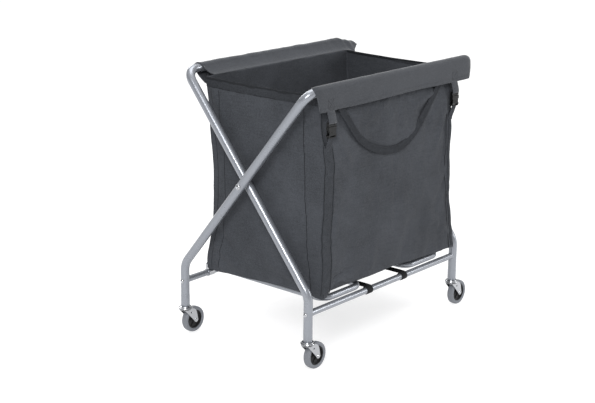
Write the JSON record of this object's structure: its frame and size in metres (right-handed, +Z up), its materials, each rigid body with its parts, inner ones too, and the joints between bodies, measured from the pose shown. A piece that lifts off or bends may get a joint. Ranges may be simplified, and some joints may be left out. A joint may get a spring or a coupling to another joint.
{
  "type": "laundry sorter on wheels",
  "caption": "Folding X-frame laundry cart of bent steel tube with a hanging fabric bag and swivel casters",
  "frame": {"origin": "on the floor, at the middle of the bottom of the whole object's box", "axes": "+Z up, +X along the cart's length towards the side that the casters trail to, -Y towards the front long side, whose top rail carries the hanging flap and handle"},
  "size_m": [0.987, 0.5988, 0.9326],
  "materials": {
    "frame_paint": "silver-grey powder coat, satin",
    "zinc_steel": "bright zinc plate",
    "tyre_rubber": "grey non-marking rubber",
    "hub_plastic": "black moulded plastic",
    "bag_fabric": "slate-grey coated woven polyester",
    "webbing": "dark grey woven webbing",
    "buckle_plastic": "black moulded plastic, satin",
    "spacer_nylon": "natural nylon"
  },
  "bodies": {
    "outer_frame": {"back_lower_rail": "frame_paint", "back_rail_bolt_left": "zinc_steel", "back_rail_bolt_right": "zinc_steel", "back_rail_plug_left": "zinc_steel", "back_rail_plug_right": "zinc_steel", "caster_stem_back_left": "zinc_steel", "caster_stem_back_right": "zinc_steel", "outer_frame_tube": "frame_paint", "pivot_bolt_left": "zinc_steel", "pivot_bolt_right": "zinc_steel", "pivot_nut_left": "zinc_steel", "pivot_nut_right": "zinc_steel", "pivot_spacer_left": "spacer_nylon", "pivot_spacer_right": "spacer_nylon"},
    "inner_frame": {"caster_stem_front_left": "zinc_steel", "caster_stem_front_right": "zinc_steel", "front_lower_rail": "frame_paint", "front_rail_bolt_left": "zinc_steel", "front_rail_bolt_right": "zinc_steel", "front_rail_plug_left": "zinc_steel", "front_rail_plug_right": "zinc_steel", "inner_frame_tube": "frame_paint"},
    "bag": {"bag": "bag_fabric", "buckle_male_front_left": "buckle_plastic", "buckle_male_front_right": "buckle_plastic", "front_cuff": "bag_fabric", "front_handle": "webbing"},
    "back_cuff": {"back_cuff": "bag_fabric", "back_handle": "webbing", "buckle_male_back_left": "buckle_plastic", "buckle_male_back_right": "buckle_plastic"},
    "bottom_support": {"bottom_loop_left": "frame_paint", "bottom_loop_right": "frame_paint", "loop_clip_left_inner": "zinc_steel", "loop_clip_left_outer": "zinc_steel", "loop_clip_right_inner": "zinc_steel", "loop_clip_right_outer": "zinc_steel"},
    "spread_straps": {"spread_strap_left": "webbing", "spread_strap_right": "webbing"},
    "buckle_back_left": {"buckle_female_back_left": "buckle_plastic"},
    "buckle_back_right": {"buckle_female_back_right": "buckle_plastic"},
    "buckle_front_left": {"buckle_female_front_left": "buckle_plastic"},
    "buckle_front_right": {"buckle_female_front_right": "buckle_plastic"},
    "fork_back_left": {"caster_axle_back_left": "zinc_steel", "caster_fork_back_left": "zinc_steel"},
    "fork_back_right": {"caster_axle_back_right": "zinc_steel", "caster_fork_back_right": "zinc_steel"},
    "fork_front_left": {"caster_axle_front_left": "zinc_steel", "caster_fork_front_left": "zinc_steel"},
    "fork_front_right": {"caster_axle_front_right": "zinc_steel", "caster_fork_front_right": "zinc_steel"},
    "wheel_back_left": {"tyre_back_left": "tyre_rubber", "wheel_hub_back_left": "hub_plastic"},
    "wheel_back_right": {"tyre_back_right": "tyre_rubber", "wheel_hub_back_right": "hub_plastic"},
    "wheel_front_left": {"tyre_front_left": "tyre_rubber", "wheel_hub_front_left": "hub_plastic"},
    "wheel_front_right": {"tyre_front_right": "tyre_rubber", "wheel_hub_front_right": "hub_plastic"}
  },
  "joints": [
    {"name": "fold", "type": "hinge", "parent": "outer_frame", "child": "inner_frame", "pos_m": [-0.0285, 0.00475, 0.57519], "axis": [1, 0, 0], "range_deg": [0, 46], "deforming": ["bag", "spread_strap_left", "spread_strap_right"]},
    {"name": "bag_hang", "type": "hinge", "parent": "outer_frame", "child": "bag", "pos_m": [-0.0285, -0.27225, 0.915], "axis": [1, 0, 0], "range_deg": [0, 23]},
    {"name": "back_cuff_turn", "type": "hinge", "parent": "inner_frame", "child": "back_cuff", "pos_m": [-0.0285, 0.28175, 0.915], "axis": [1, 0, 0], "range_deg": [-23, 0]},
    {"name": "bottom_lift", "type": "hinge", "parent": "outer_frame", "child": "bottom_support", "pos_m": [-0.0285, 0.26575, 0.195], "axis": [1, 0, 0], "range_deg": [-55.2, 0]},
    {"name": "strap_turn", "type": "hinge", "parent": "outer_frame", "child": "spread_straps", "pos_m": [-0.0285, 0.26575, 0.195], "axis": [1, 0, 0], "range_deg": [0, 23]},
    {"name": "swivel_back_left", "type": "hinge", "parent": "outer_frame", "child": "fork_back_left", "pos_m": [-0.4695, 0.26575, 0], "axis": [0, 0, 1], "continuous": true},
    {"name": "roll_back_left", "type": "hinge", "parent": "fork_back_left", "child": "wheel_back_left", "pos_m": [-0.4335, 0.26575, 0.045], "axis": [0, 1, 0], "continuous": true},
    {"name": "swivel_back_right", "type": "hinge", "parent": "outer_frame", "child": "fork_back_right", "pos_m": [0.4125, 0.26575, 0], "axis": [0, 0, 1], "continuous": true},
    {"name": "roll_back_right", "type": "hinge", "parent": "fork_back_right", "child": "wheel_back_right", "pos_m": [0.4485, 0.26575, 0.045], "axis": [0, 1, 0], "continuous": true},
    {"name": "swivel_front_left", "type": "hinge", "parent": "inner_frame", "child": "fork_front_left", "pos_m": [-0.4365, -0.25625, 0], "axis": [0, 0, 1], "continuous": true},
    {"name": "roll_front_left", "type": "hinge", "parent": "fork_front_left", "child": "wheel_front_left", "pos_m": [-0.4005, -0.25625, 0.045], "axis": [0, 1, 0], "continuous": true},
    {"name": "swivel_front_right", "type": "hinge", "parent": "inner_frame", "child": "fork_front_right", "pos_m": [0.3795, -0.25625, 0], "axis": [0, 0, 1], "continuous": true},
    {"name": "roll_front_right", "type": "hinge", "parent": "fork_front_right", "child": "wheel_front_right", "pos_m": [0.4155, -0.25625, 0.045], "axis": [0, 1, 0], "continuous": true},
    {"name": "release_back_left", "type": "slide", "parent": "back_cuff", "child": "buckle_back_left", "axis": [0, 0, -1], "range_m": [0, 0.03]},
    {"name": "release_back_right", "type": "slide", "parent": "back_cuff", "child": "buckle_back_right", "axis": [0, 0, -1], "range_m": [0, 0.03]},
    {"name": "release_front_left", "type": "slide", "parent": "bag", "child": "buckle_front_left", "axis": [0, 0, -1], "range_m": [0, 0.03]},
    {"name": "release_front_right", "type": "slide", "parent": "bag", "child": "buckle_front_right", "axis": [0, 0, -1], "range_m": [0, 0.03]}
  ],
  "couplings": [
    {"joint": "bag_hang", "follows": "fold", "ratio": 0.5},
    {"joint": "back_cuff_turn", "follows": "fold", "ratio": -0.5},
    {"joint": "bottom_lift", "follows": "fold", "ratio": -1.2},
    {"joint": "strap_turn", "follows": "fold", "ratio": 0.5}
  ]
}
